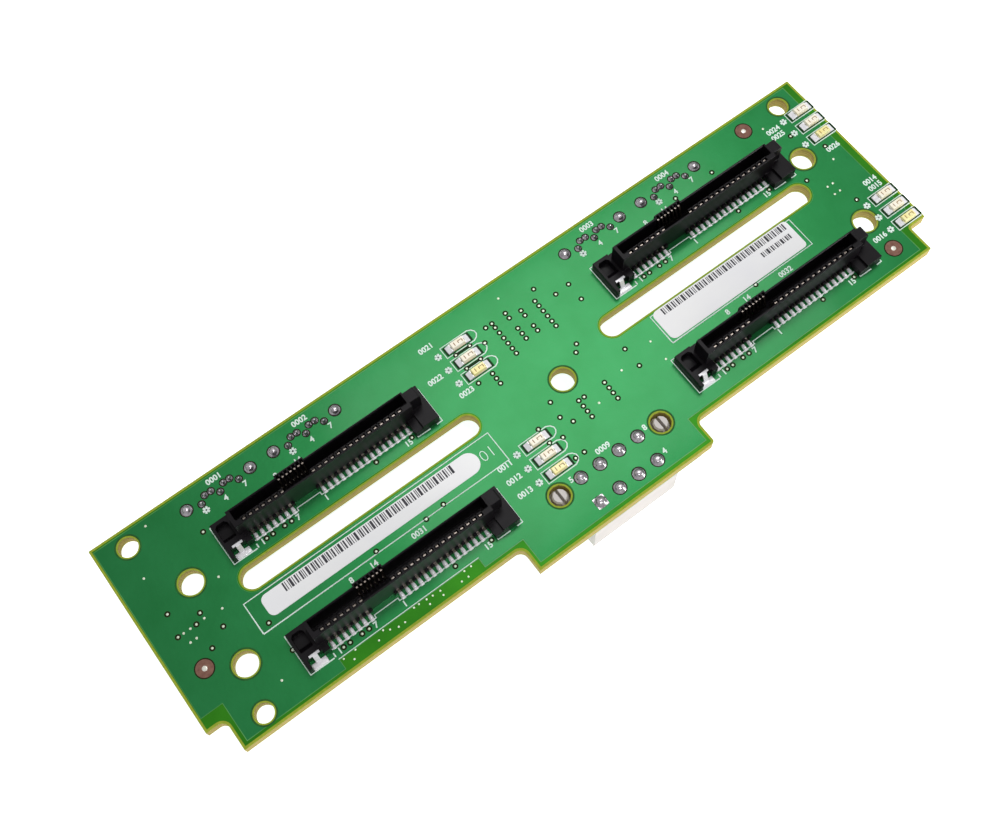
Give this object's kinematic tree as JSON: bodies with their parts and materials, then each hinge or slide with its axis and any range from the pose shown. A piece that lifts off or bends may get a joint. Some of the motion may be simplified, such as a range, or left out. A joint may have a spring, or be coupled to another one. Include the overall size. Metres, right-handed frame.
{
  "type": "drive backplane board",
  "caption": "Green circuit board with tall slotted drive sockets on the front, cable headers on the rear, air slots and screw holes.",
  "frame": {"origin": "axis of the centre screw hole at the board's rear face", "axes": "+X along the board, +Y towards the edge with the data headers, +Z from the rear face to the face with the drive sockets"},
  "size_m": [0.158, 0.0492, 0.0196],
  "materials": {
    "board_laminate": "green solder mask over glass-fibre laminate",
    "black_moulding": "black moulded plastic, semi-gloss",
    "white_moulding": "natural white moulded plastic",
    "contact_alloy": "tin-plated copper alloy strip",
    "tinned_pins": "tin-plated square wire",
    "tinned_steel": "tin-plated strip",
    "solder": "wave-soldered tin",
    "light_resin": "pale amber resin on a light base",
    "label_paper": "white printed film"
  },
  "bodies": {
    "root": {"circuit_board": "board_laminate", "data_header_1_board_locks": "tinned_steel", "data_header_1_contacts": "contact_alloy", "data_header_1_housing": "black_moulding", "data_header_2_board_locks": "tinned_steel", "data_header_2_contacts": "contact_alloy", "data_header_2_housing": "black_moulding", "data_header_3_board_locks": "tinned_steel", "data_header_3_contacts": "contact_alloy", "data_header_3_housing": "black_moulding", "data_header_4_board_locks": "tinned_steel", "data_header_4_contacts": "contact_alloy", "data_header_4_housing": "black_moulding", "data_header_solder": "solder", "left_label": "label_paper", "lower_left_socket_hold_down_clip": "tinned_steel", "lower_left_socket_housing": "black_moulding", "lower_left_socket_power_contacts": "contact_alloy", "lower_left_socket_second_port_contacts": "contact_alloy", "lower_left_socket_signal_contacts": "contact_alloy", "lower_right_socket_hold_down_clip": "tinned_steel", "lower_right_socket_housing": "black_moulding", "lower_right_socket_power_contacts": "contact_alloy", "lower_right_socket_second_port_contacts": "contact_alloy", "lower_right_socket_signal_contacts": "contact_alloy", "power_header_housing": "white_moulding", "power_header_pins": "tinned_pins", "power_header_solder": "solder", "right_label": "label_paper", "status_light_lower_edge_1": "light_resin", "status_light_lower_edge_2": "light_resin", "status_light_lower_edge_3": "light_resin", "status_light_lower_middle_1": "light_resin", "status_light_lower_middle_2": "light_resin", "status_light_lower_middle_3": "light_resin", "status_light_upper_edge_1": "light_resin", "status_light_upper_edge_2": "light_resin", "status_light_upper_edge_3": "light_resin", "status_light_upper_middle_1": "light_resin", "status_light_upper_middle_2": "light_resin", "status_light_upper_middle_3": "light_resin", "upper_left_socket_hold_down_clip": "tinned_steel", "upper_left_socket_housing": "black_moulding", "upper_left_socket_power_contacts": "contact_alloy", "upper_left_socket_second_port_contacts": "contact_alloy", "upper_left_socket_signal_contacts": "contact_alloy", "upper_right_socket_hold_down_clip": "tinned_steel", "upper_right_socket_housing": "black_moulding", "upper_right_socket_power_contacts": "contact_alloy", "upper_right_socket_second_port_contacts": "contact_alloy", "upper_right_socket_signal_contacts": "contact_alloy"}
  },
  "joints": []
}
